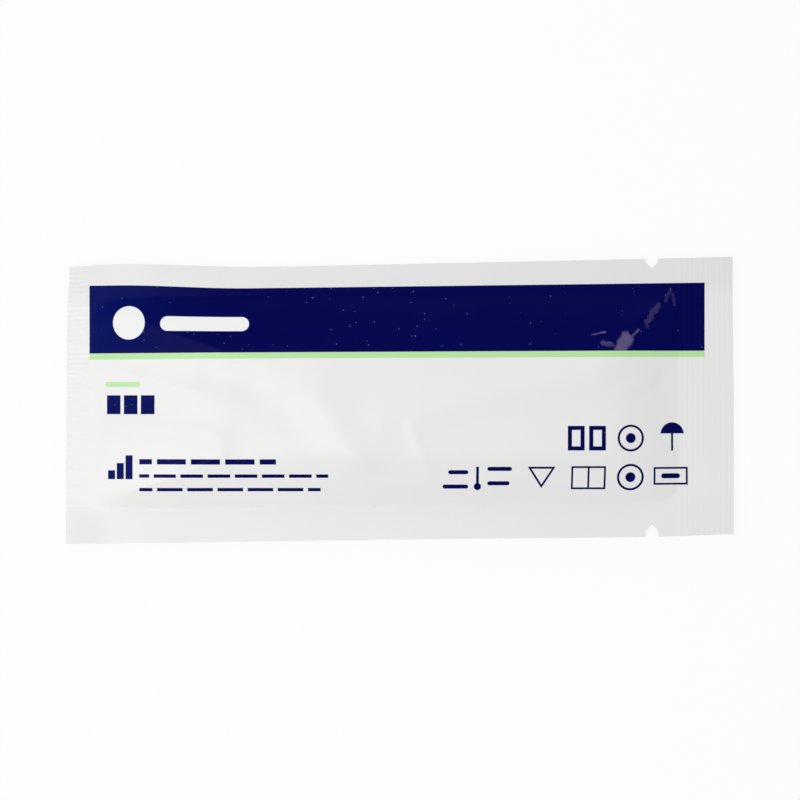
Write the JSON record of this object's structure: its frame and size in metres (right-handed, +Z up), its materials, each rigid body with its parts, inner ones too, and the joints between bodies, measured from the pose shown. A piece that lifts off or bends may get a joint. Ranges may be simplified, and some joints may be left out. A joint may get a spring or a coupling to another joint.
{
  "type": "sealed foil pouch",
  "caption": "Flat heat-sealed foil pouch, swollen over the test device inside, with ribbed crimps at its ends and tear notches in its long edges.",
  "frame": {"origin": "middle of the pouch's outline, at the table that it lies on", "axes": "+X along the pouch towards the end with the tear notches, +Y across it towards the printed band, +Z up out of the printed front"},
  "size_m": [0.12, 0.0518, 0.0062],
  "materials": {
    "printed_film": "satin white film over foil, with a printed band"
  },
  "bodies": {
    "root": {"sealed_pouch": "printed_film"}
  },
  "joints": []
}
